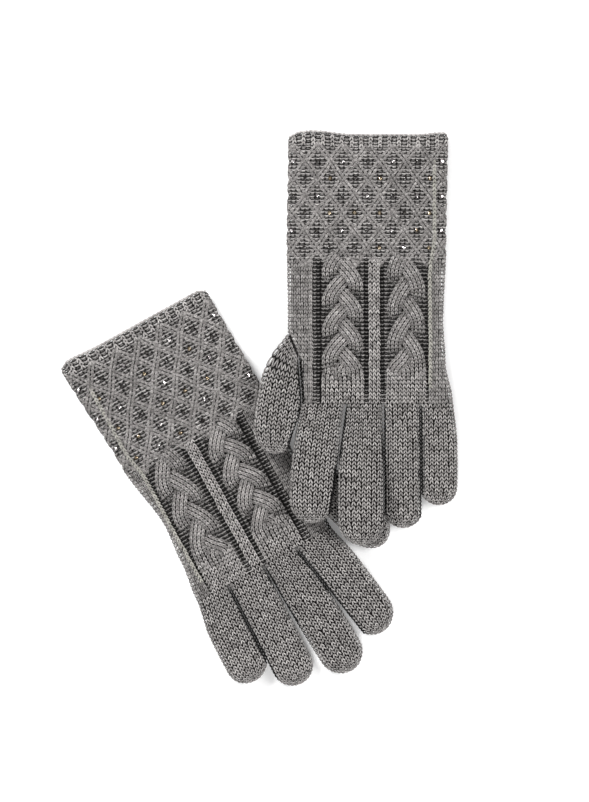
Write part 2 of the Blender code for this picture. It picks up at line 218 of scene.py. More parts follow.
class Surface:
    """A tube of fabric: a share around it from the top centre (-0.5 to 0.5) and a length along it."""

    powers = (SIDE_POWER,)

    def __init__(self, glove, half_width, height):
        self.glove = glove
        tables = [outline(power, half_width, height) for power in self.powers]
        self.x_table = np.array([t[0] for t in tables])
        self.z_table = np.array([t[1] for t in tables])
        self.girth = tables[-1][2]
        self.sign = 1.0
        middle = self.at(np.array([0.0]), np.array([self.middle_length()]), 0.0)[1]
        self.sign = 1.0 if middle[0, 2] > 0 else -1.0

    def cross_section(self, around, squareness=None):
        """Shares of the half width and the height; squareness is 0 at a finger's base and 1 elsewhere."""
        place = np.mod(around, 1.0) * OUTLINE_STEPS
        k = np.minimum(place.astype(int), OUTLINE_STEPS - 1)
        f = place - k

        def read(table, row):
            return table[row, k] * (1 - f) + table[row, k + 1] * f

        tables = (self.x_table, self.z_table)
        if len(self.powers) == 1:
            return [read(t, 0) for t in tables]
        level = squareness * (len(self.powers) - 1)
        low = np.minimum(level.astype(int), len(self.powers) - 2)
        mix = level - low
        return [read(t, low) * (1 - mix) + read(t, low + 1) * mix for t in tables]

    def at(self, around, along, height):
        """Points and outward normals, from arrays of shares around, lengths along and heights."""
        e = 0.004
        f = 0.25
        p = self.point(around, along)
        normal = np.cross(
            self.point(around + e, along) - self.point(around - e, along),
            self.point(around, along + f) - self.point(around, along - f),
        )
        normal *= self.sign / np.maximum(1e-9, np.linalg.norm(normal, axis=-1))[..., None]
        return p + normal * np.asarray(height)[..., None], normal

    def in_room(self, u, v, up):
        if self.lifted:
            up = up + drape(u, v)
        x, y = glove_to_world(self.glove, u, v)
        return np.stack([x, y, up], -1)


class Palm(Surface):
    """The cuff and the hand: along is v, the distance from the mouth."""

    def __init__(self, glove, lifted):
        self.lifted = lifted
        super().__init__(glove, 46.0, THICKNESS - 2 * SKIN)

    def middle_length(self):
        return 60.0

    def point(self, around, along):
        glove = self.glove
        left, right = palm_edges(glove, along)
        half = (right - left) / 2 - SIDE_SKIN
        across, up = self.cross_section(around)
        u = (left + right) / 2 + across * half
        up = SKIN + up * (THICKNESS - 2 * SKIN)
        along = along + eased(u, *glove["rim"]) * smoothstep(1.0 - along / 16.0)
        for low, high in glove["gaps"]:
            groove = np.exp(-((u - low) / 2.2) ** 2) * smoothstep((along - 148.0) / 13.0)
            up = up + groove * np.where(up > THICKNESS / 2, -2.2, 1.2)
        return self.in_room(u, along, up)

    def painted_seam_shade(self, around, along):
        """Painted shade on the yarn in the seam where the thumb lies against it, from where it leaves the
        hand.
        """
        left, right = palm_edges(self.glove, along)
        across = self.cross_section(around)[0] * (right - left) / 2 + (right - left) / 2
        return PAINTED_SEAM_SHADE * np.clip(1.6 - across / PRESS, 0.0, 1.0) * (along > self.glove["thumb"][1][1])

    def around_at(self, u, v):
        """The share around the tube of a place u on its back, at length v."""
        left, right = palm_edges(self.glove, np.asarray(v, float))
        half = (right - left) / 2 - SIDE_SKIN
        share = np.clip((u - (left + right) / 2) / half, -1.0, 1.0)
        quarter = OUTLINE_STEPS // 4 + 40
        top = np.maximum.accumulate(self.x_table[0][:quarter])
        around = np.interp(np.abs(share), top, np.arange(quarter) / OUTLINE_STEPS)
        return np.sign(share) * around


class Stall(Surface):
    """A finger or a thumb: along is measured over its outline from its base to its tip."""

    powers = tuple(np.linspace(BASE_POWER, SIDE_POWER, 9))

    def __init__(self, glove, path, keep, lifted, half_width):
        self.path = path
        self.keep = keep
        self.lifted = lifted
        share = np.linspace(0.0, 1.0, 600)
        centre, across, half, _ = path(share)
        edge = centre + across * half[:, None]
        steps = np.hypot(*np.diff(edge, axis=0).T)
        self.far_along = np.concatenate(([0.0], np.cumsum(steps)))
        self.shares = share
        self.length = self.far_along[-1]
        super().__init__(glove, half_width - SKIN, FINGER_THICKNESS - 2 * SKIN)

    def middle_length(self):
        return self.length * 0.5

    def spot(self, around, along):
        """Where a point lies in the glove's plane before the neighbours press on it, and its height."""
        share = np.interp(along, self.far_along, self.shares)
        extra = np.minimum(0.0, along) / self.length
        centre, across_dir, half, height = self.path(share + extra)
        half = np.maximum(0.25, half - SIDE_SKIN)
        floor = SKIN + (FINGER_THICKNESS - height) / 2
        across, up = self.cross_section(around, smoothstep(share / 0.2))
        across = across * half
        up = floor + up * np.maximum(0.8, height - 2 * SKIN)
        u = centre[..., 0] + across_dir[..., 0] * across
        v = centre[..., 1] + across_dir[..., 1] * across
        return u, v, up

    def painted_seam_shade(self, around, along):
        """Painted shade on the yarn in the seams where its neighbours lie against it."""
        u, v, _ = self.spot(around, along)
        pressed = np.abs(self.keep(u + PRESS, v) - u - PRESS) + np.abs(self.keep(u - PRESS, v) - u + PRESS)
        return PAINTED_SEAM_SHADE * np.clip(pressed / PRESS, 0.0, 1.0) * smoothstep(along / 9.0)

    def point(self, around, along):
        u, v, up = self.spot(around, along)
        return self.in_room(self.keep(u, v), v, up)

    def half_at(self, along):
        """Half of its width at each length along it."""
        share = np.interp(along, self.far_along, self.shares)
        return self.path(share)[2]


class Inset:
    """The same tube, nearer its middle."""

    def __init__(self, surface, depth):
        self.surface = surface
        self.depth = depth
        self.sign = surface.sign

    def point(self, around, along):
        return self.surface.at(around, along, np.full(np.shape(around), -self.depth))[0]


def finger_path(base_a, base_b, middle, tip, half_width):
    """The line along a finger: its centre, direction across, half width and height at each share."""
    a = np.array(base_a)
    b = np.array(base_b)
    start = (a + b) / 2
    base_across = (b - a) / np.linalg.norm(b - a)
    base_half = np.linalg.norm(b - a) / 2
    p1 = np.array(middle)
    p2 = np.array(tip)
    length = np.linalg.norm(p1 - start) + np.linalg.norm(p2 - p1)

    def at(t):
        t = np.asarray(t, float)[..., None]
        centre = (start * (1 - t) + p1 * t) * (1 - t) + (p1 * (1 - t) + p2 * t) * t
        ahead = 2 * (1 - t) * (p1 - start) + 2 * t * (p2 - p1)
        ahead /= np.linalg.norm(ahead, axis=-1)[..., None]
        square = np.stack([ahead[..., 1], -ahead[..., 0]], -1)
        turned = smoothstep(t / 0.35)
        across = base_across * (1 - turned) + square * turned
        across /= np.linalg.norm(across, axis=-1)[..., None]
        t = t[..., 0]
        half = base_half + (half_width - base_half) * smoothstep(t / 0.42)
        to_tip = np.clip((1.0 - t) * length / half_width, 0.0, 1.0)
        roundness = np.sqrt(np.maximum(0.0, 1.0 - (1.0 - to_tip) ** 2.3))
        height = FINGER_THICKNESS * (0.35 + 0.65 * np.minimum(1.0, roundness * 1.15))
        return centre, across, half * roundness, height

    return at


def between(low, high):
    """Keeps a finger on its own side of the lines between it and its neighbours."""

    def keep(u, v):
        share = (v - HAND_END) / 40.0
        if low is not None:
            u = np.maximum(u, low[0] + (low[1] - low[0]) * share + FINGER_GAP / 2 + TOUCH)
        if high is not None:
            u = np.minimum(u, high[0] + (high[1] - high[0]) * share - FINGER_GAP / 2 - TOUCH)
        return u

    return keep


def beside_hand(glove):
    """Keeps a thumb clear of the side of the hand and of the index finger."""
    inner = glove["thumb"][1]
    base, base_half, middle, tip, half = glove["fingers"]["index"]

    def keep(u, v):
        share = np.minimum(1.0, (v - HAND_END) / 30.0)
        finger = base - base_half + (middle[0] - half - base + base_half) * smoothstep(share)
        side = np.where(v < HAND_END, palm_edges(glove, v)[0], finger)
        return np.where(v < inner[1], u, np.minimum(u, side - THUMB_GAP / 2 - THUMB_TOUCH))

    return keep


# ---- yarn

class Yarn:
    """Gathers swept lengths of yarn, all of one piece, and makes one mesh of them."""

    def __init__(self):
        self.verts, self.quads, self.tris = [], [], []
        self.sheet_uv, self.yarn_uv = [], []
        self.tones, self.painted_light_levels = [], []
        self.count = 0

    def sweep(self, points, normals, level, radius, sides, sheet_uv, tone, run):
        """Sweeps tubes: points and normals (n, m, 3), level and radius (n, m), tone and run (n,)."""
        n, m = points.shape[:2]
        ahead = np.gradient(points, axis=1)
        ahead /= np.maximum(1e-9, np.linalg.norm(ahead, axis=-1))[..., None]
        beside = np.cross(ahead, normals)
        beside /= np.maximum(1e-9, np.linalg.norm(beside, axis=-1))[..., None]
        above = np.cross(beside, ahead)
        radius = np.broadcast_to(radius, (n, m))
        phase = np.arange(sides) * 2 * math.pi / sides + math.pi / 2
        ring = (
            points[:, :, None]
            + beside[:, :, None] * (np.cos(phase)[:, None] * radius[..., None, None])
            + above[:, :, None] * (np.sin(phase)[:, None] * radius[..., None, None] * YARN_FLAT)
        )
        bulge = radius[:, (0, -1), None] * np.array([-0.6, 0.6])[None, :, None]
        caps = points[:, (0, -1)] + ahead[:, (0, -1)] * bulge
        per = m * sides + 2
        verts = np.concatenate([ring.reshape(n, m * sides, 3), caps], 1)
        k = np.arange(sides)
        nxt = (k + 1) % sides
        quads = np.concatenate([
            np.stack([r * sides + k, (r + 1) * sides + k, (r + 1) * sides + nxt, r * sides + nxt], -1)
            for r in range(m - 1)
        ])
        last = (m - 1) * sides
        tris = np.concatenate([
            np.stack([k, nxt, np.full(sides, m * sides)], -1),
            np.stack([last + nxt, last + k, np.full(sides, m * sides + 1)], -1),
        ])
        start = self.count + np.arange(n)[:, None, None] * per
        self.quads.append((quads[None] + start).reshape(-1, 4))
        self.tris.append((tris[None] + start).reshape(-1, 3))
        self.verts.append(verts.reshape(-1, 3))
        sheet = np.repeat(sheet_uv[:, :, None], sides, 2).reshape(n, m * sides, 2)
        self.sheet_uv.append(np.concatenate([sheet, sheet_uv[:, (0, -1)]], 1).reshape(-1, 2))
        steps = np.linalg.norm(np.diff(points, axis=1), axis=-1)
        length = np.concatenate([np.zeros((n, 1)), np.cumsum(steps, 1)], 1) + run[:, None]
        turn = np.broadcast_to((k / sides)[None, None], (n, m, sides))
        along = np.broadcast_to(length[..., None], (n, m, sides))
        own = np.stack([along, turn], -1).reshape(n, m * sides, 2)
        ends = np.stack([length[:, (0, -1)], np.zeros((n, 2))], -1)
        self.yarn_uv.append(np.concatenate([own, ends], 1).reshape(-1, 2))
        self.tones.append(np.repeat(tone, per))
        # painted light and shade: the level is higher on the yarn's top and lower on its sides and underside
        high = level[..., None] + np.sin(phase) * radius[..., None] * YARN_FLAT
        self.painted_light_levels.append(np.concatenate([high.reshape(n, m * sides), level[:, (0, -1)]], 1).ravel())
        self.count += n * per

    def mesh(self, name, material):
        verts = np.concatenate(self.verts) * MM
        quads = np.concatenate(self.quads)
        tris = np.concatenate(self.tris)
        corners = np.concatenate([quads.ravel(), tris.ravel()]).astype(np.int32)
        starts = [np.arange(len(quads)) * 4, len(quads) * 4 + np.arange(len(tris)) * 3]
        starts = np.concatenate(starts)
        totals = np.concatenate([np.full(len(quads), 4), np.full(len(tris), 3)])
        mesh = bpy.data.meshes.new(name)
        mesh.vertices.add(len(verts))
        mesh.vertices.foreach_set("co", verts.astype(np.float32).ravel())
        mesh.loops.add(len(corners))
        mesh.loops.foreach_set("vertex_index", corners)
        mesh.polygons.add(len(starts))
        mesh.polygons.foreach_set("loop_start", starts.astype(np.int32))
        mesh.polygons.foreach_set("loop_total", totals.astype(np.int32))
        mesh.polygons.foreach_set("use_smooth", np.ones(len(starts), bool))
        for layer, values in (("OFBake", self.sheet_uv), ("yarn", self.yarn_uv)):
            uv = mesh.uv_layers.new(name=layer)
            uv.data.foreach_set("uv", np.concatenate(values)[corners].astype(np.float32).ravel())
        # level carries painted light and shade into the yarn's colour
        for attribute, values in (("tone", self.tones), ("level", self.painted_light_levels)):
            data = mesh.attributes.new(attribute, "FLOAT", "POINT").data
            data.foreach_set("value", np.concatenate(values).astype(np.float32))
        mesh.update(calc_edges=True)
        mesh.materials.append(material)
        return in_scene(name, mesh)


def in_scene(name, data):
    obj = bpy.data.objects.new(name, data)
    bpy.context.scene.collection.objects.link(obj)
    return obj


def spline(points, count):
    """A smooth polyline of count points through a few given ones."""
    p = np.asarray(points, float)
    p = np.vstack([2 * p[0] - p[1], p, 2 * p[-1] - p[-2]])
    t = np.linspace(0.0, len(p) - 3.0, count)
    k = np.minimum(t.astype(int), len(p) - 4)
    f = (t - k)[:, None]
    a, b, c, d = p[k], p[k + 1], p[k + 2], p[k + 3]
    bend = (2 * a - 5 * b + 4 * c - d) * f ** 2 + (3 * b - 3 * c + d - a) * f ** 3
    return 0.5 * (2 * b + (c - a) * f + bend)


def loop(end, shoulder, top):
    """A loop across a stitch, the same on both sides of its top."""
    return (end, shoulder, top, (-shoulder[0], *shoulder[1:]), (-end[0], *end[1:]))


def both_legs(leg):
    return [([(hand * x, y, h) for x, y, h in leg], 1.0) for hand in (-1, 1)]


# Lengths of yarn, as (share of a wale, share of a course, height). One leg of a knit stitch goes from
# behind the stitch below, out over it and behind the stitch above.
LEG = ((0.03, -0.26, -0.85), (0.09, 0.02, 0.24), (0.21, 0.36, 0.5), (0.34, 0.72, 0.44), (0.38, 1.0, -0.6))
# The same drawn out in a narrow rib, where the rows hardly show
RIB_LEG = (
    (0.13, -0.25, -0.25), (0.16, 0.08, 0.2), (0.23, 0.4, 0.36), (0.29, 0.74, 0.28), (0.33, 1.06, -0.1)
)
# The bump of a purl stitch, across the wale, the smaller loop below it, and a loop of the cast-on edge
BUMP = loop((-0.62, 0.34, -0.05), (-0.3, 0.56, 0.3), (0.0, 0.64, 0.4))
SAG = loop((-0.52, 0.14, -0.26), (-0.26, 0.02, 0.02), (0.0, -0.04, 0.1))
CAST_ON = loop((-0.62, -0.12, -0.15), (-0.3, 0.02, 0.12), (0.0, 0.1, 0.2))


# Each kind of stitch: its lengths of yarn, each with its share of the yarn's radius, and their points
KNIT = (both_legs(LEG), 6)
RIB = (both_legs(RIB_LEG), 6)
PURL = (((BUMP, 1.0), (SAG, 0.9)), 5)


def tones_for(rng, wales, rows):
    """A shade for each stitch: the yarn's shade drifts slowly along each row."""
    key = rows * 997 + wales * 0.37
    slow = np.sin(key * 1.7) * 0.5 + np.sin(key * 0.61 + 2.0) * 0.5
    return 0.5 + 0.06 * slow + rng.normal(0.0, 0.05, len(wales))


def unevenly(rng, around, along, wale):
    """Hand-soft knitting: no stitch sits exactly on its row and column."""
    n = len(around)
    return around + rng.normal(0.0, 0.05, n) * wale, along + rng.normal(0.0, 0.05, n) * COURSE


def lay(yarn, place, shape, count, radius, sides, tone, run):
    """Lays one shape of yarn at every place: place(x, y, h) gives points, normals and sheet uvs."""
    path = spline(shape, count)
    points, normals, sheet, level = place(path[:, 0], path[:, 1], path[:, 2])
    ends = np.ones(count)
    ends[0] = ends[-1] = 0.62        # the yarn thins where it dips out of sight
    yarn.sweep(points, normals, level, radius[:, None] * ends[None], sides, sheet, tone, run)


def grid_place(surface, around, along, wale, course, lift, painted_light=0.0):
    """Places shapes on stitches whose centres are arrays of shares around and lengths along."""
    wale = np.broadcast_to(wale, around.shape)
    lift = np.broadcast_to(lift, around.shape)

    def place(x, y, h):
        a = around[:, None] + x[None] * wale[:, None]
        v = along[:, None] + y[None] * course
        points, normals = surface.at(a, v, h[None] + lift[:, None])
        # painted light and shade: raised stitches are coloured lighter, sunken stitches and seams darker
        level = h[None] + lift[:, None] * LIFT_SHADE - surface.painted_seam_shade(a, v) + painted_light
        return points, normals, np.stack([a + 0.5, v / SHEET_LENGTH], -1), level

    return place


def yarn_places(rng, count):
    """How far along its ball each length of yarn starts."""
    return rng.uniform(0.0, 400.0, count)


def work(kind, yarn, surface, around, along, wale, course, lift, rng, radius=YARN, sides=5, points=None):
    """Works one kind of stitch at every place."""
    shapes, usual_points = kind
    tone = tones_for(rng, around * WALES_AROUND, along / COURSE)
    around, along = unevenly(rng, around, along, wale)
    radius = np.broadcast_to(radius, around.shape)
    for shape, scale in shapes:
        place = grid_place(surface, around, along, wale, course, lift)
        run = yarn_places(rng, len(around))
        lay(yarn, place, shape, points or usual_points, radius * scale, sides, tone, run)


# ---- layout of the knit

# Columns of the back of the hand, as (place across, kind, height, width). Purl columns are its gutters.
BACK_COLUMNS = (
    [(-47.2 + 2.0 * k, RIB, 0.0, 2.0) for k in range(7)]
    + [(-33.9, RIB, 0.5, 2.0), (-31.8, PURL, -0.2, 2.2), (-29.7, PURL, -1.3, 2.2)]
    + [(-3.4, PURL, -0.4, 2.2), (-1.1, PURL, -1.3, 2.2)]
    + [(1.2, KNIT, 0.7, 2.4), (3.6, KNIT, 1.0, 2.4), (6.0, KNIT, 0.7, 2.4)]
    + [(8.4, PURL, -1.3, 2.2), (10.5, PURL, -0.4, 2.2), (34.9, PURL, -1.1, 1.8)]
    + [(38.7 + 2.0 * k, RIB, 0.1, 2.0) for k in range(6)]
)
GUTTER_START = 74.0
GUTTER_END = 158.0
LIGHT_COLUMN = 36.7
LIGHT_END = HAND_END - 9.0
TURN = 0.4               # how far from its sides the back's columns keep
SIDE_SHARE = 0.243       # where the outermost column of the back lies, as a share around the hand
# Cables: middle, half width, where the plait starts, distance between lobes on one side, where it ends
CABLES = ((-15.2, 13.0, 78.6, 17.5, 141.0), (22.6, 12.2, 78.7, 21.3, 139.0))
CABLE_GROUND = -0.9      # height of the purl columns behind a cable
CABLE_FOOT = 0.15        # height of the knit columns past its end
GROUND_WALE = 2.5
CABLE_LIFT = 2.1
CABLE_START = 73.0
CABLE_WALES = 4
CABLE_WALE = 2.3

# The lattice of the cuff
DIAMONDS = 13
DIAMOND_STEP = 10.3
FIRST_STONES = 16.7
LATTICE_WALE = 2.05
LATTICE_START = 6.0
LATTICE_END = 76.5
STONE_ROWS = ("sdsdsds", "dgdgdg", "dsdsdss", "dgggdg", "sdsdsgs", "dddgsg")


def evenly(start, end, step):
    """Middles of the rows or columns that fill a length, and their exact size."""
    count = max(1, round((end - start) / step))
    size = (end - start) / count
    return start + (np.arange(count) + 0.5) * size, size


def cells(columns, rows):
    a, v = np.meshgrid(columns, rows, indexing="ij")
    return a.ravel(), v.ravel()


def inside(palm, u, v):
    """Which places across lie on the back, clear of where it turns under."""
    left, right = palm_edges(palm.glove, v)
    return (u > left + SKIN + TURN) & (u < right - SKIN - TURN)


def knit_hand(palm, rng):
    """The back of the hand's columns and the plain palm side."""
    back = Yarn()
    rows, course = evenly(CUFF_END, HAND_END, COURSE)
    spans = [(*column, CUFF_END, HAND_END) for column in BACK_COLUMNS]
    spans.append((LIGHT_COLUMN, RIB, 0.1, 2.2, LIGHT_END, HAND_END))
    for middle, half, _, _, stop in CABLES:
        for place in middle + np.linspace(-half + 1.4, half - 1.4, 10):
            change = stop + 7.0 - 7.0 * abs(place - middle) / half
            spans.append((place, PURL, CABLE_GROUND, GROUND_WALE, CUFF_END, change))
            spans.append((place, KNIT, CABLE_FOOT, GROUND_WALE, change, HAND_END))
    for place, kind, height, width, start, end in spans:
        v = rows[(rows > start) & (rows < end)]
        u = np.full(len(v), place)
        keep = inside(palm, u, v)
        u, v = u[keep], v[keep]
        fade = smoothstep((v - GUTTER_START) / 4.0) * smoothstep((GUTTER_END - v) / 9.0)
        work(kind, back, palm, palm.around_at(u, v), v, width / palm.girth, course, height * fade, rng,
             radius=YARN * (0.6 + 0.16 * width))
    for share in (-SIDE_SHARE, SIDE_SHARE):
        work(KNIT, back, palm, np.full(len(rows), share), rows, WALE / palm.girth, course, -0.2, rng)
    under = Yarn()
    shares, wale = evenly(0.249, 0.751, WALE / palm.girth)
    a, v = cells(shares, rows)
    work(KNIT, under, palm, a, v, wale, course, 0.0, rng, sides=4, points=5)
    return back, under


def ribbon_place(line, q, v_mid):
    """Places shapes on a ribbon, at offsets q across it: line(v) gives (u, height) of its middle."""

    def place(x, t, h):
        v = v_mid[:, None] + t[None] * COURSE
        u, lift = line(v)
        u1, _ = line(v + 0.5)
        slope = (u1 - u) / 0.5
        size = np.hypot(slope, 1.0)
        spread = line.spread(v)
        aside = (q[:, None] + x[None] * line.leg_width) * spread
        raised = lift - line.bulge * (aside / spread) ** 2
        along = v - aside * slope / size
        around = line.around(u + aside / size, along)
        points, normals = line.palm.at(around, along, h[None] + raised)
        sheet = np.stack([around + 0.5 + line.number * 0.01, v / SHEET_LENGTH], -1)
        # painted shade: a ribbon's edges, and a strand where it passes under the others, are coloured darker
        edge = line.rim * smoothstep((np.abs(aside) - line.width / 2 + 0.9) / 0.9)
        return points, normals, sheet, h[None] + line.under(v) - edge

    return place


def knit_ribbon(yarn, line, wales, rng, radius):
    """Columns of knit stitches along a ribbon that wanders over the fabric."""
    v = [line.start]
    while v[-1] < line.end:
        u0 = line(np.array([v[-1]]))[0]
        u1 = line(np.array([v[-1] + 0.5]))[0]
        v.append(v[-1] + COURSE / math.hypot(1.0, float(u1[0] - u0[0]) / 0.5))
    offsets = (np.arange(wales) - (wales - 1) / 2) * line.wale
    q, v = cells(offsets, np.array(v))
    tone = tones_for(rng, q + line.number * 7, v / COURSE) + line.tone
    radius = np.full(len(q), radius)
    shapes, points = KNIT
    for shape, _ in shapes:
        lay(yarn, ribbon_place(line, q, v), shape, points, radius, 5, tone, yarn_places(rng, len(q)))


class Strand:
    """One strand of a three-strand plait; past the plait's end it runs straight on and sinks in.

    bulge rounds a ribbon's edges off, rim is the painted shade that darkens them, and tone is its shade
    beside the other yarn."""

    bulge = 0.10
    rim = 0.4
    tone = -0.04
    width = CABLE_WALES * CABLE_WALE
    wale = CABLE_WALE
    leg_width = 1.95

    def __init__(self, palm, cable, number):
        self.palm = palm
        self.middle, self.half, self.origin, self.lobe, self.stop = cable
        self.number = number
        self.swing = self.half - self.width / 2 - 0.5
        self.start = CABLE_START
        self.end = self.stop + 6.0
        turn = self.turn(self.stop)
        rank = sorted(range(3), key=lambda k: math.sin(turn + 2 * math.pi * (k - number) / 3.0))
        self.rest = (rank.index(number) - 1) * 7.7

    def turn(self, v):
        return 2 * math.pi * ((v - self.origin) / (3 * self.lobe) + self.number / 3.0)

    def __call__(self, v):
        turn = self.turn(v)
        close = smoothstep((v - self.start + 3.0) / 6.0) * smoothstep((self.stop + 2.0 - v) / 6.0)
        on = smoothstep((self.stop + 5.0 - v) / 9.0)
        swing = self.swing * np.sin(turn)
        u = self.middle + swing * on + self.rest * (1 - on)
        tuck = smoothstep((v - self.stop - 1.0) / 6.0)
        return u, 0.75 - 1.6 * tuck + (0.1 + CABLE_LIFT * np.sin(2 * turn)) * close

    def spread(self, v):
        return 1.0 + 0.12 * smoothstep((v - self.stop + 4.0) / 8.0)

    def under(self, v):
        """Painted shade where it lies under the other strands."""
        sunk = np.minimum(0.0, CABLE_LIFT * np.sin(2 * self.turn(v)))
        return sunk * smoothstep((self.stop + 1.0 - v) / 6.0) * 0.25

    def around(self, u, v):
        return self.palm.around_at(u, v)


class Travel:
    """One travelling rib of the cuff's lattice: it slants one way and passes over or under the others."""

    bulge = 0.08
    # painted shade along the rib's edges
    rim = 0.35
    tone = -0.10
    width = 2 * LATTICE_WALE
    wale = LATTICE_WALE
    leg_width = 1.4

    def __init__(self, palm, number, way):
        self.palm = palm
        self.way = way
        self.pitch = palm.girth / DIAMONDS
        self.number = number
        self.start = LATTICE_START
        self.end = LATTICE_END

    def __call__(self, v):
        step = (v - FIRST_STONES) / DIAMOND_STEP
        u = self.pitch * (self.number + 0.5 + self.way * step * 0.5)
        u = u + 0.35 * np.sin(0.31 * v + 1.9 * self.number + self.way)
        ends = smoothstep((v - self.start + 2.0) / 5.0) * smoothstep((self.end - v) / 6.0)
        crossing = np.cos(2 * math.pi * step) * 0.5 + 0.5
        side = 1.0 - 0.6 * smoothstep((np.abs(u / self.palm.girth) - 0.2) / 0.05)
        return u, ((0.30 + self.way * 0.45 * crossing) * ends - 0.4 * (1 - ends)) * side

    def spread(self, v):
        return np.ones(np.shape(v))

    def under(self, v):
        return np.zeros(np.shape(v))

    def around(self, u, v):
        return u / self.palm.girth


def knit_cables(palm, rng):
    yarn = Yarn()
    for cable in CABLES:
        for number in range(3):
            knit_ribbon(yarn, Strand(palm, cable, number), CABLE_WALES, rng, radius=0.43)
    return yarn


def knit_lattice(palm, way, rng):
    """The ribs that slant one way."""
    yarn = Yarn()
    for number in range(DIAMONDS):
        knit_ribbon(yarn, Travel(palm, number, way), 2, rng, radius=YARN)
    return yarn


def knit_ground(palm, rng):
    """The purl ground behind the lattice, all around the cuff."""
    back = Yarn()
    under = Yarn()
    rows, course = evenly(CUFF_START, CUFF_END, COURSE)
    shares, wale = evenly(-0.5, 0.5, WALE / palm.girth)
    step = palm.girth / DIAMONDS
    a, v = cells(shares, rows)
    row = (v - FIRST_STONES) / DIAMOND_STEP
    place = a * palm.girth / step
    near = np.cos(math.pi * (row + 2 * place)) * np.cos(math.pi * (row - 2 * place))
    lift = -0.15 - 0.65 * np.clip(near, 0.0, 1.0) ** 1.5
    top = np.abs(a) < 0.27
    for yarn, pick, sides, points in ((back, top, 5, 5), (under, ~top, 4, 4)):
        work(PURL, yarn, palm, a[pick], v[pick], wale, course, lift[pick], rng, SOFT_YARN, sides, points)
    return back, under


RIM_LIGHT = 0.55         # painted light: the cast-on edge's colour is lightened as if lit from the side that faces out of the mouth


def knit_welt(palm, rng):
    """A short one by one rib and the cast-on edge of the mouth."""
    yarn = Yarn()
    rows, course = evenly(-0.5, CUFF_START + 0.6, COURSE * 0.95)
    shares, wale = evenly(-0.5, 0.5, WALE / palm.girth)
    shares = shares[: len(shares) // 2 * 2]
    for offset, kind, lift in ((0, KNIT, 0.1), (1, PURL, -0.2)):
        a, v = cells(shares[offset::2], rows)
        work(kind, yarn, palm, a, v, wale, course, lift, rng, SOFT_YARN)
    for height, along in ((0.1, -0.5), (-0.9, -0.8), (-1.9, -0.5)):
        v = np.full(len(shares), along)
        # painted light on the cast-on edge
        place = grid_place(palm, shares, v, wale, course, height, RIM_LIGHT)
        tone = tones_for(rng, shares * WALES_AROUND, v)
        lay(yarn, place, CAST_ON, 5, np.full(len(v), 0.5), 5, tone, yarn_places(rng, len(v)))
    return yarn


def light_column(palm, rng):
    """The single pale column that runs from the cuff to the knuckles on the little finger side."""
    yarn = Yarn()
    v, course = evenly(15.0, LIGHT_END, COURSE)
    u = LIGHT_COLUMN + 2.6 * (1 - smoothstep((v - 60.0) / 22.0))
    lift = 0.9 * smoothstep((HAND_END - 10.0 - v) / 8.0) * smoothstep((v - 13.0) / 8.0) - 0.4
    lift = lift + 0.4 * smoothstep((v - 60.0) / 20.0)
    work(KNIT, yarn, palm, palm.around_at(u, v), v, 2.3 / palm.girth, course, lift, rng, radius=0.5)
    return yarn


def knit_stall(stall, rng):
    """A plain finger, drawn together at its tip."""
    yarn = Yarn()
    rows, course = evenly(0.0, stall.length - 1.0, COURSE)
    wales = 2 * round(stall.girth / WALE / 2)
    full = stall.half_at(np.array([stall.length * 0.55]))[0]
    for v in rows:
        size = stall.half_at(np.array([v]))[0] / full
        count = wales if size > 0.62 else wales // 2
        shares = (np.arange(count) + 0.5) / count - 0.5
        scale = min(1.0, max(0.62, (size * 0.85 + 0.15) * wales / count))
        work(KNIT, yarn, stall, shares, np.full(count, v), 1.0 / count, course, 0.0, rng, YARN * scale)
    return yarn


# ---- plain surfaces behind the stitches: a dark sheet of painted shade, and the glove's inside

def sleeve_mesh(name, materials, outer, inner, stations, sides, closed_tip):
    """A thin closed shell between two surfaces of one tube; materials: its outer face's and the rest's."""
    shares = np.arange(sides) / sides - 0.5
    rings = []
    for surface in (outer, inner):
        a, v = np.meshgrid(shares, stations, indexing="ij")
        points = surface.point(a.ravel(), v.ravel())
        rings.append(points.reshape(sides, len(stations), 3).transpose(1, 0, 2))
    m = len(stations)
    verts = np.concatenate([rings[0].reshape(-1, 3), rings[1].reshape(-1, 3)])
    faces = []
    turned = outer.sign > 0
    last = (m - 1) * sides
    lining = m * sides

    def add(corners, flip):
        faces.append(tuple(reversed(corners)) if flip else corners)

    def band(first, second, flip):
        """The faces between two rings that start at these corners."""
        for k in range(sides):
            n = (k + 1) % sides
            add((first + k, first + n, second + n, second + k), flip)

    for layer, flip in ((0, not turned), (lining, turned)):
        for r in range(0, last, sides):
            band(layer + r, layer + r + sides, flip)
    band(0, lining, turned)
    if closed_tip:
        add(tuple(last + k for k in range(sides)), not turned)
        add(tuple(lining + last + k for k in range(sides)), turned)
    else:
        band(last, lining + last, not turned)
    mesh = bpy.data.meshes.new(name)
    mesh.from_pydata([tuple(p) for p in verts * MM], [], faces)
    uv = mesh.uv_layers.new(name="OFBake")
    flat = np.tile(np.stack(np.meshgrid(shares + 0.5, np.linspace(0, 1, m), indexing="ij"), -1)
                   .transpose(1, 0, 2).reshape(-1, 2), (2, 1))
    corners = np.zeros(len(mesh.loops), np.int32)
    mesh.loops.foreach_get("vertex_index", corners)
    uv.data.foreach_set("uv", flat[corners].astype(np.float32).ravel())
    mesh.polygons.foreach_set("use_smooth", np.ones(len(mesh.polygons), bool))
    for material in materials:
        mesh.materials.append(material)
    mesh.polygons.foreach_set("material_index", [int(k >= last) for k in range(len(mesh.polygons))])
    mesh.update()
    return in_scene(name, mesh)


# ---- materials

def set_inputs(node, settings):
    for name, value in settings.items():
        node.inputs[name].default_value = value
    return node


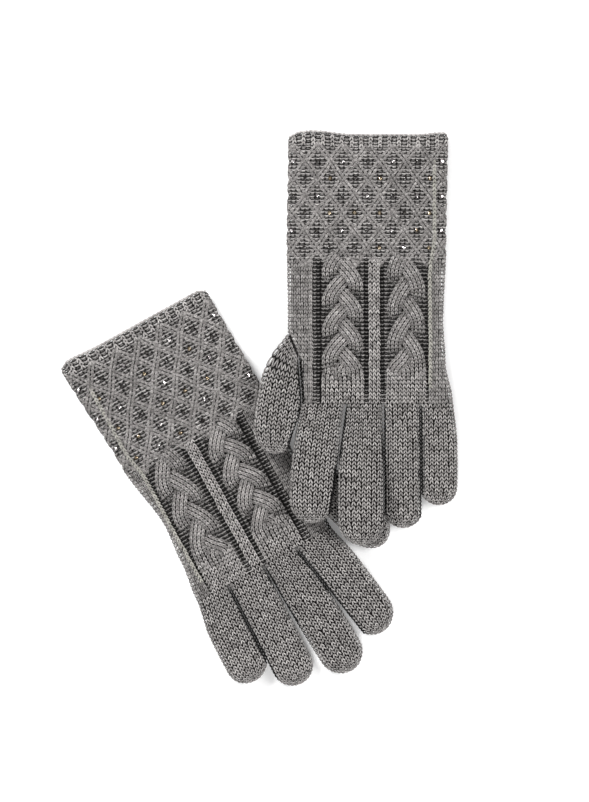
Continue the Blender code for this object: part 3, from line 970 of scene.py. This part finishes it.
class Shading:
    """A material under construction: its nodes, its links and its shader."""

    def __init__(self, name, settings):
        self.material = bpy.data.materials.new(name)
        self.material.use_nodes = True
        self.nodes = self.material.node_tree.nodes
        self.link = self.material.node_tree.links.new
        self.shader = set_inputs(self.nodes["Principled BSDF"], settings)

    def add(self, kind, settings=None):
        return set_inputs(self.nodes.new("ShaderNode" + kind), settings or {})

    def math(self, operation, a, b=None):
        node = self.add("Math")
        node.operation = operation
        for socket, value in zip(node.inputs, (a, b)):
            if isinstance(value, (int, float)):
                socket.default_value = value
            elif value is not None:
                self.link(value, socket)
        return node.outputs[0]

    def noise(self, place, settings):
        node = self.add("TexNoise", settings)
        self.link(place, node.inputs["Vector"])
        return node.outputs[0]

    def object_place(self):
        return self.add("TexCoord").outputs["Object"]

    def ramp(self, value, first, last, *between):
        """Colours by (position, colour)."""
        node = self.add("ValToRGB")
        elements = node.color_ramp.elements
        for element, (position, colour) in zip(elements, (first, last)):
            element.position = position
            element.color = colour
        for position, colour in between:
            elements.new(position).color = colour
        self.link(value, node.inputs[0])
        return node.outputs[0]

    def attribute(self, name):
        node = self.add("Attribute")
        node.attribute_name = name
        return node.outputs["Fac"]

    def colour(self, socket):
        self.link(socket, self.shader.inputs["Base Color"])

    def relief(self, height, strength, distance):
        bump = self.add("Bump", {"Strength": strength, "Distance": distance})
        self.link(height, bump.inputs["Height"])
        self.link(bump.outputs[0], self.shader.inputs["Normal"])


def yarn_material(name, dark, mid, light):
    """Heather yarn: twisted plies with light and dark fibres along them, darkened by painted shade where the
    level is low.
    """
    look = Shading(name, {"Roughness": 0.9, "Specular IOR Level": 0.08,
                          "Sheen Weight": 0.04, "Sheen Roughness": 0.5})
    uv = look.add("UVMap")
    uv.uv_map = "yarn"
    parts = look.add("SeparateXYZ")
    look.link(uv.outputs[0], parts.inputs[0])
    length, turn = parts.outputs[0], parts.outputs[1]
    twist = look.math("ADD", turn, look.math("MULTIPLY", length, 0.42))
    fibre_place = look.add("CombineXYZ")
    look.link(look.math("MULTIPLY", length, 0.55), fibre_place.inputs[0])
    look.link(look.math("MULTIPLY", twist, 5.0), fibre_place.inputs[1])
    fibres = look.noise(fibre_place.outputs[0], {"Scale": 3.2, "Detail": 3.0, "Roughness": 0.75})
    mixed = look.math("ADD", look.math("MULTIPLY", fibres, 0.75),
                      look.math("MULTIPLY", look.attribute("tone"), 0.32))
    colour = look.ramp(mixed, (0.42, dark), (0.65, light), (0.53, mid))
    # painted shade: the yarn's colour is scaled down where the level is low
    deep = look.add("MapRange", {"From Min": 0.0, "From Max": 0.86, "To Min": 0.02, "To Max": 1.0})
    deep.interpolation_type = "SMOOTHSTEP"
    look.link(look.attribute("level"), deep.inputs["Value"])
    shaded = look.add("VectorMath")
    shaded.operation = "SCALE"
    look.link(colour, shaded.inputs[0])
    look.link(deep.outputs[0], shaded.inputs["Scale"])
    look.colour(shaded.outputs[0])
    plies = look.math("SINE", look.math("MULTIPLY", twist, 4 * math.pi))
    look.relief(look.math("ADD", look.math("MULTIPLY", plies, 0.5), fibres), 0.5, 0.00012)
    return look.material


def shade_sheet_and_inside_material(name, dark, light):
    """A plain matted surface: the dark sheet of painted shade behind the stitches, and the glove's inside."""
    look = Shading(name, {"Roughness": 0.95, "Specular IOR Level": 0.15})
    noise = look.noise(look.object_place(), {"Scale": 900.0, "Detail": 3.0})
    look.colour(look.ramp(noise, (0.0, dark), (1.0, light)))
    look.relief(noise, 0.6, 0.0003)
    return look.material


def stone_material(name, colour, deep, metallic):
    """Cut glass: its facets differ a little in depth of colour."""
    look = Shading(name, {"Metallic": metallic, "Roughness": 0.06,
                          "Coat Weight": 0.6, "Coat Roughness": 0.02})
    noise = look.noise(look.object_place(), {"Scale": 650.0})
    look.colour(look.ramp(noise, (0.4, deep), (0.6, colour)))
    return look.material


# ---- crystals

STONE_RADIUS = 1.4
STONE_HEIGHT = 1.4
STONE_SINK = 0.35        # how far it is set into the fabric
# The looks of the stones' tables and facets: name, colour, depth of colour and how metallic. They are lit and
# shaded copies of each stone's colour: painted highlight on the table, painted shade on the facets
STONE_LOOKS = (
    ("silver", (0.95, 0.92, 0.90, 1), (0.75, 0.72, 0.72, 1), 0.9),
    ("silver_facet", (0.30, 0.26, 0.27, 1), (0.04, 0.03, 0.035, 1), 0.8),
    ("gold", (0.62, 0.52, 0.38, 1), (0.36, 0.28, 0.18, 1), 0.8),
    ("gold_facet", (0.13, 0.095, 0.055, 1), (0.025, 0.018, 0.012, 1), 0.7),
    ("dark", (0.06, 0.055, 0.05, 1), (0.02, 0.018, 0.016, 1), 0.5),
    ("dark_facet", (0.03, 0.026, 0.024, 1), (0.008, 0.007, 0.007, 1), 0.5),
)
# A stone's rings, as (share of its radius, share of its height, part of a facet it is turned by)
STONE_RINGS = ((0.75, -0.5, 0.0), (1.0, 0.3, 0.0), (0.80, 0.72, 0.5), (0.36, 1.0, 0.0))


def stones_mesh(name, places, table_material, shaded_facet_material, rng):
    """Many cut stones in one mesh: a small bright table with a painted highlight and sloping facets darkened
    with painted shade.
    """
    sides = 8
    verts = []
    faces = []
    slots = []
    for centre, normal in places:
        across = np.cross(normal, (0.31, 0.95, 0.0))
        across /= np.linalg.norm(across)
        ahead = np.cross(normal, across)
        lean = rng.normal(0.0, 0.06, 2)
        up = normal + across * lean[0] + ahead * lean[1]
        up /= np.linalg.norm(up)
        start = len(verts)
        spin = rng.uniform(0.0, 1.0)
        for radius, height, half_turn in STONE_RINGS:
            for k in range(sides):
                angle = 2 * math.pi * (k + half_turn + spin) / sides
                flat = across * math.cos(angle) + ahead * math.sin(angle)
                verts.append(tuple((centre + flat * radius * STONE_RADIUS + up * height * STONE_HEIGHT) * MM))
        for k in range(sides):
            n = (k + 1) % sides
            base = [start + r * sides for r in range(4)]
            faces.append((base[0] + k, base[0] + n, base[1] + n, base[1] + k))
            faces.append((base[1] + k, base[1] + n, base[2] + k))
            faces.append((base[1] + n, base[2] + n, base[2] + k))
            faces.append((base[2] + k, base[3] + n, base[3] + k))
            faces.append((base[2] + k, base[2] + n, base[3] + n))
            slots += [1, 1, 1, 0, 1]
        faces.append(tuple(start + 3 * sides + k for k in range(sides)))
        slots.append(0)
        faces.append(tuple(start + k for k in reversed(range(sides))))
        slots.append(1)
    mesh = bpy.data.meshes.new(name)
    mesh.from_pydata(verts, [], faces)
    mesh.materials.append(table_material)
    mesh.materials.append(shaded_facet_material)
    mesh.polygons.foreach_set("material_index", slots)
    mesh.update()
    return in_scene(name, mesh)


# ---- the two gloves

def build_glove(prefix, glove, mats, rng):
    lifted = prefix == "left"
    hand_body = prefix + "_hand_body"
    palm = Palm(glove, lifted)

    def piece(yarn, name, rides=True, material="yarn", node=None):
        obj = yarn.mesh(f"{prefix}_{name}", mats[material])
        if rides:
            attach(obj, hand_body)
        if node:
            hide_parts(f"{prefix}_{node}")
        return obj

    def finger(label, stall, start, end):
        """The stitches and the lining of a finger or thumb. Its start and end are not used."""
        stitches = piece(knit_stall(stall, rng), label + "_stitches", rides=False, node=label)
        stations = np.concatenate([np.linspace(-1.0, stall.length - TIP_LENGTH, 24),
                                   stall.length - TIP_LENGTH * (1 - np.linspace(0.05, 0.93, 16))])
        # its outer face is a dark sheet of painted shade seen between the stitches
        lining = sleeve_mesh(f"{prefix}_{label}_lining", (mats["gap_shade"], mats["inside"]),
                             Inset(stall, STALL_BACKING), Inset(stall, STALL_LINING), stations, 48, True)
        for fabric in (stitches, lining):
            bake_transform(fabric)

    back, under = knit_ground(palm, rng)
    for way, word in ((-1, "lattice_under_ribs"), (1, "lattice_over_ribs")):
        piece(knit_lattice(palm, way, rng), word, node="cuff_lattice")
    piece(back, "cuff_back_stitches")
    piece(under, "cuff_palm_stitches")
    piece(knit_welt(palm, rng), "welt_stitches", node="cuff_welt")
    back, under = knit_hand(palm, rng)
    piece(back, "hand_back_stitches", node="hand")
    piece(under, "hand_palm_stitches")
    piece(knit_cables(palm, rng), "cable_stitches")
    piece(light_column(palm, rng), "pale_column_stitches", material="pale")
    # its outer face is a dark sheet of painted shade seen between the stitches
    lining = sleeve_mesh(f"{prefix}_hand_lining", (mats["gap_shade"], mats["inside"]), Inset(palm, -BACKING),
                         Inset(palm, -LINING), np.linspace(0.6, HAND_END + 1.0, 60), 120, False)
    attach(lining, hand_body)

    gaps = (None,) + glove["gaps"] + (None,)
    for k, name in enumerate(FINGERS):
        base, base_half, middle, tip, half = glove["fingers"][name]
        path = finger_path((base - base_half, HAND_END), (base + base_half, HAND_END), middle, tip, half)
        drapes = lifted and name in ("index", "middle")
        stall = Stall(glove, path, between(gaps[k], gaps[k + 1]), drapes, half)
        finger(name + "_finger", stall, (base, HAND_END - FOLD[0]), (base, HAND_END + FOLD[1]))
    outer, inner, middle, tip, half = glove["thumb"]
    stall = Stall(glove, finger_path(outer, inner, middle, tip, half), beside_hand(glove), lifted, half)
    seam = (np.array(outer) + np.array(inner)) / 2
    ahead = np.array(middle) - seam
    ahead /= np.linalg.norm(ahead)
    finger("thumb", stall, tuple(seam - ahead * THUMB_FOLD[0]), tuple(seam + ahead * THUMB_FOLD[1]))
    set_stones(prefix, palm, mats, hand_body, rng)


def set_stones(prefix, palm, mats, body, rng):
    """A stone in every diamond of the back of the cuff, one piece for each colour."""
    groups = {"s": [], "g": [], "d": []}
    for row, colours in enumerate(STONE_ROWS):
        for column, colour in enumerate(colours):
            around = (column - (len(colours) - 1) / 2) * (1.0 / DIAMONDS)
            along = FIRST_STONES + row * DIAMOND_STEP
            centre, normal = palm.at(*np.array([[around], [along], [-STONE_SINK]]))
            groups[colour].append((centre[0], normal[0]))
    slots = {row["node"]: row["material_slot"] for row in frame["record"]["subparts"]}
    for colour, word in (("s", "silver"), ("g", "gold"), ("d", "dark")):
        obj = stones_mesh(f"{prefix}_{word}_stones", groups[colour], mats[word], mats[word + "_facet"], rng)
        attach(obj, body)
        named = [n for n in frame["nodes"] if n.startswith(f"{prefix}_crystal")]
        named = [n for n in named if slots.get(n) == word + "_crystal"]
        if named:
            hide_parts(*named)


# ---- room

CAMERA_DISTANCE = 2.6     # from the top of the gloves
GLOVE_TOP = 0.008
SENSOR = 36.0
VIEW_HEIGHT = 0.4772      # metres of table that the picture's long side takes in
VIEW_CENTRE = (0.0212, 0.0048)
FLOOR_REACH = 3.0
# The lamps: name, place, size and power
LAMPS = (
    ("key", (-0.9, 1.0, 1.0), 0.6, 33.0),
    ("right", (1.2, 0.1, 1.0), 0.9, 17.0),
    ("near", (-0.1, -1.3, 1.0), 0.9, 14.0),
)


def make_room():
    camera = bpy.data.cameras.new("camera")
    camera.lens = SENSOR * CAMERA_DISTANCE / VIEW_HEIGHT
    camera.sensor_width = SENSOR
    camera.clip_end = 10.0
    rig = in_scene("camera", camera)
    rig.location = (VIEW_CENTRE[0], VIEW_CENTRE[1], CAMERA_DISTANCE + GLOVE_TOP)
    bpy.context.scene.camera = rig

    mesh = bpy.data.meshes.new("floor")
    s = FLOOR_REACH
    mesh.from_pydata([(-s, -s, 0), (s, -s, 0), (s, s, 0), (-s, s, 0)], [], [(0, 1, 2, 3)])
    mesh.materials.append(Shading("floor", {
        "Base Color": (0.93, 0.93, 0.93, 1.0), "Roughness": 0.9, "Specular IOR Level": 0.2,
        "Emission Color": (1.0, 1.0, 1.0, 1.0), "Emission Strength": 0.16,
    }).material)
    floor = in_scene("floor", mesh)
    floor.location.z = -0.0004

    world = bpy.data.worlds.new("studio")
    world.use_nodes = True
    nodes = world.node_tree.nodes
    link = world.node_tree.links.new
    place = nodes.new("ShaderNodeTexCoord")
    parts = nodes.new("ShaderNodeSeparateXYZ")
    link(place.outputs["Generated"], parts.inputs[0])
    sky = set_inputs(nodes.new("ShaderNodeMapRange"),
                     {"From Min": 0.12, "From Max": 0.32, "To Min": 0.95, "To Max": 0.24})
    link(parts.outputs[2], sky.inputs["Value"])
    link(sky.outputs[0], nodes["Background"].inputs["Strength"])
    nodes["Background"].inputs["Color"].default_value = (1.0, 1.0, 1.0, 1.0)
    bpy.context.scene.world = world

    for name, place, size, power in LAMPS:
        light = bpy.data.lights.new(name, "AREA")
        light.size = size
        light.energy = power
        lamp = in_scene(name, light)
        lamp.location = place
        away = math.hypot(place[0], place[1])
        lamp.rotation_euler = (math.atan2(away, place[2]), 0.0, math.atan2(place[0], -place[1]))
    bpy.context.scene.view_settings.view_transform = "Standard"


def main():
    rng = np.random.default_rng(SEED)
    mats = {
        "yarn": yarn_material("heather_yarn", (0.07, 0.065, 0.063, 1), (0.30, 0.284, 0.276, 1),
                              (0.78, 0.75, 0.73, 1)),
        "pale": yarn_material("pale_yarn", (0.15, 0.145, 0.13, 1), (0.34, 0.33, 0.30, 1),
                              (0.54, 0.525, 0.48, 1)),
        # painted shade: a near-black sheet seen in the gaps between stitches
        "gap_shade": shade_sheet_and_inside_material("painted_gap_shade", (0.008, 0.007, 0.007, 1), (0.024, 0.022, 0.021, 1)),
        "inside": shade_sheet_and_inside_material("felted_inside", (0.07, 0.066, 0.063, 1), (0.20, 0.19, 0.183, 1)),
    }
    for name, *look in STONE_LOOKS:
        mats[name] = stone_material(name if name.endswith("facet") else name + "_crystal", *look)
    for prefix, glove in GLOVES.items():
        build_glove(prefix, glove, mats, rng)
    make_room()


main()
